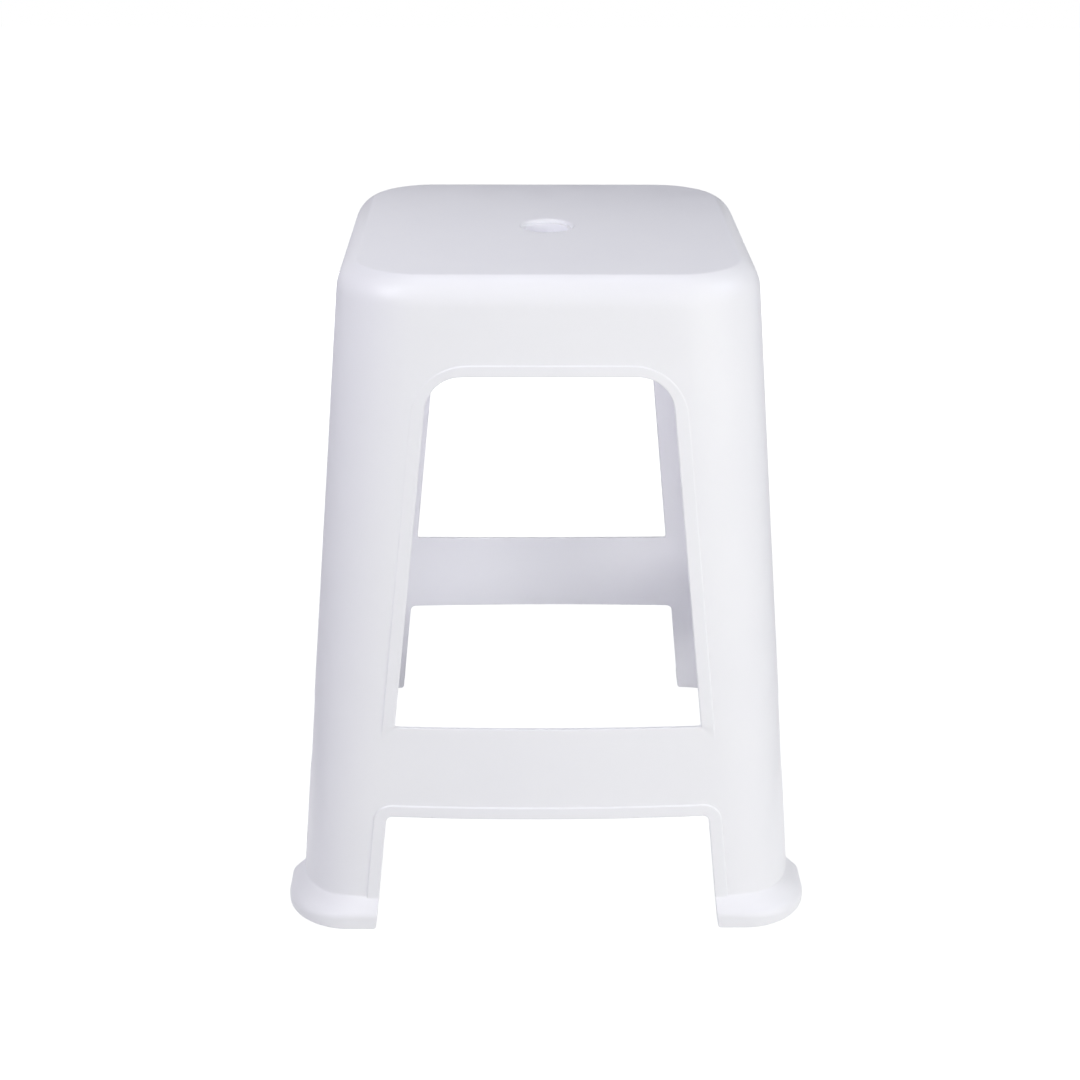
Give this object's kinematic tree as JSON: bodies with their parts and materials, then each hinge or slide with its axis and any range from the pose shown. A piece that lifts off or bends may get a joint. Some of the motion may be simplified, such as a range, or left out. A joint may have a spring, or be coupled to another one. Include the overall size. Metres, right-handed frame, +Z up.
{
  "type": "stacking stool",
  "caption": "Square moulded plastic stacking stool with tapering shell legs, rungs on every side, flared feet with anti-slip pads and a finger hole in the seat.",
  "frame": {"origin": "on the floor, below the middle of the seat", "axes": "+Z up from the floor to the seat, front towards -Y, +X to the right seen from the front"},
  "size_m": [0.3646, 0.3646, 0.45],
  "materials": {
    "white_plastic": "satin moulded polypropylene",
    "pad_rubber": "matt soft rubber"
  },
  "bodies": {
    "root": {"stool_body": "white_plastic", "foot_pad_front_left": "pad_rubber", "foot_pad_front_right": "pad_rubber", "foot_pad_rear_left": "pad_rubber", "foot_pad_rear_right": "pad_rubber"}
  },
  "joints": []
}
